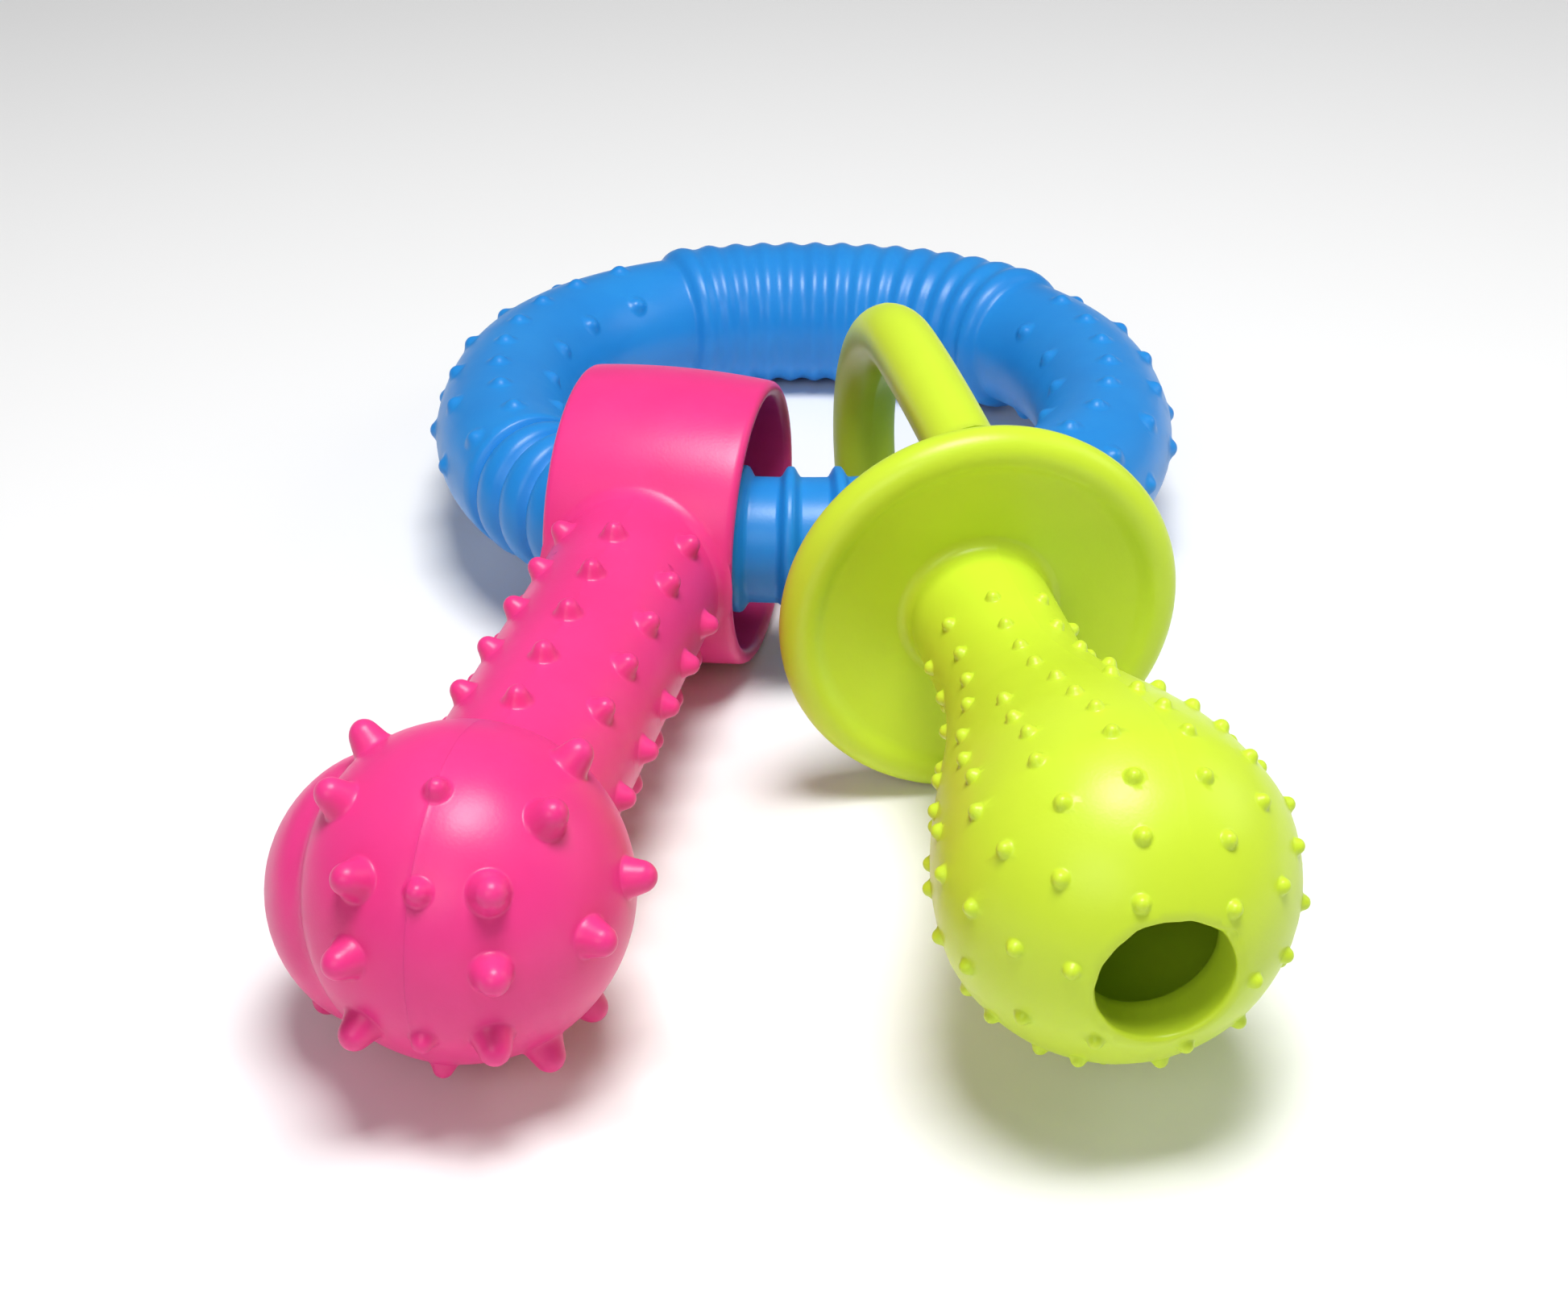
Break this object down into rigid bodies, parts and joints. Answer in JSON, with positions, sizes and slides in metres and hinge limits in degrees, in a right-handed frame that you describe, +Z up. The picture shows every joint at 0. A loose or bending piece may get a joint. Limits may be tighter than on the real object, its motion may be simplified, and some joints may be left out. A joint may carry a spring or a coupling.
{
  "type": "baby rattle",
  "caption": "Soft rubber ring carrying a spiked ball-ended stick on a strap and a dummy-shaped teether with a hollow teat, shield and D handle.",
  "frame": {"origin": "on the floor under the middle of the object as it lies, strap and handle round the front of the ring", "axes": "+Z up, +Y from the two toys towards the far side of the ring, +X from the stick towards the dummy"},
  "size_m": [0.1136, 0.2028, 0.0494],
  "materials": {
    "ring_rubber": "soft satin thermoplastic rubber, translucent blue",
    "stick_rubber": "soft satin thermoplastic rubber, pink",
    "dummy_rubber": "soft satin thermoplastic rubber, yellow green",
    "hard_plastic": "plain moulded plastic, hidden inside",
    "bead_plastic": "plain moulded plastic bead, hidden inside"
  },
  "bodies": {
    "ring": {"ring_front_section": "ring_rubber", "ring_back_section": "ring_rubber", "ring_joint_pin_left": "hard_plastic", "ring_joint_pin_right": "hard_plastic"},
    "stick": {"stick": "stick_rubber", "head_shell_left": "stick_rubber", "head_shell_right": "stick_rubber", "capsule_half_front": "hard_plastic", "capsule_half_back": "hard_plastic"},
    "bead_1": {"bead_1": "bead_plastic"},
    "bead_2": {"bead_2": "bead_plastic"},
    "bead_3": {"bead_3": "bead_plastic"},
    "bead_4": {"bead_4": "bead_plastic"},
    "bead_5": {"bead_5": "bead_plastic"},
    "bead_6": {"bead_6": "bead_plastic"},
    "dummy": {"teat": "dummy_rubber", "shield": "dummy_rubber", "handle_loop": "dummy_rubber", "teat_plug": "hard_plastic"}
  },
  "joints": [
    {"name": "stick_swing", "type": "hinge", "parent": "ring", "child": "stick", "pos_m": [-0.01659, 0.00486, 0.0197], "axis": [-0.9763, 0.2163, 0], "range_deg": [-120, 150]},
    {"name": "dummy_swing", "type": "hinge", "parent": "ring", "child": "dummy", "pos_m": [0.01535, -0.00134, 0.01984], "axis": [-0.9736, -0.2284, 0], "range_deg": [-90, 90]},
    {"name": "bead_1_rattle", "type": "slide", "parent": "stick", "child": "bead_1", "axis": [0.2163, 0.9763, -0.0082], "range_m": [-0.0038, 0.0038]},
    {"name": "bead_2_rattle", "type": "slide", "parent": "stick", "child": "bead_2", "axis": [0.2163, 0.9763, -0.0082], "range_m": [-0.0038, 0.0038]},
    {"name": "bead_3_rattle", "type": "slide", "parent": "stick", "child": "bead_3", "axis": [0.2163, 0.9763, -0.0082], "range_m": [-0.0038, 0.0038]},
    {"name": "bead_4_rattle", "type": "slide", "parent": "stick", "child": "bead_4", "axis": [0.2163, 0.9763, -0.0082], "range_m": [-0.0038, 0.0038]},
    {"name": "bead_5_rattle", "type": "slide", "parent": "stick", "child": "bead_5", "axis": [0.2163, 0.9763, -0.0082], "range_m": [-0.0038, 0.0038]},
    {"name": "bead_6_rattle", "type": "slide", "parent": "stick", "child": "bead_6", "axis": [0.2163, 0.9763, -0.0082], "range_m": [-0.0038, 0.0038]}
  ]
}
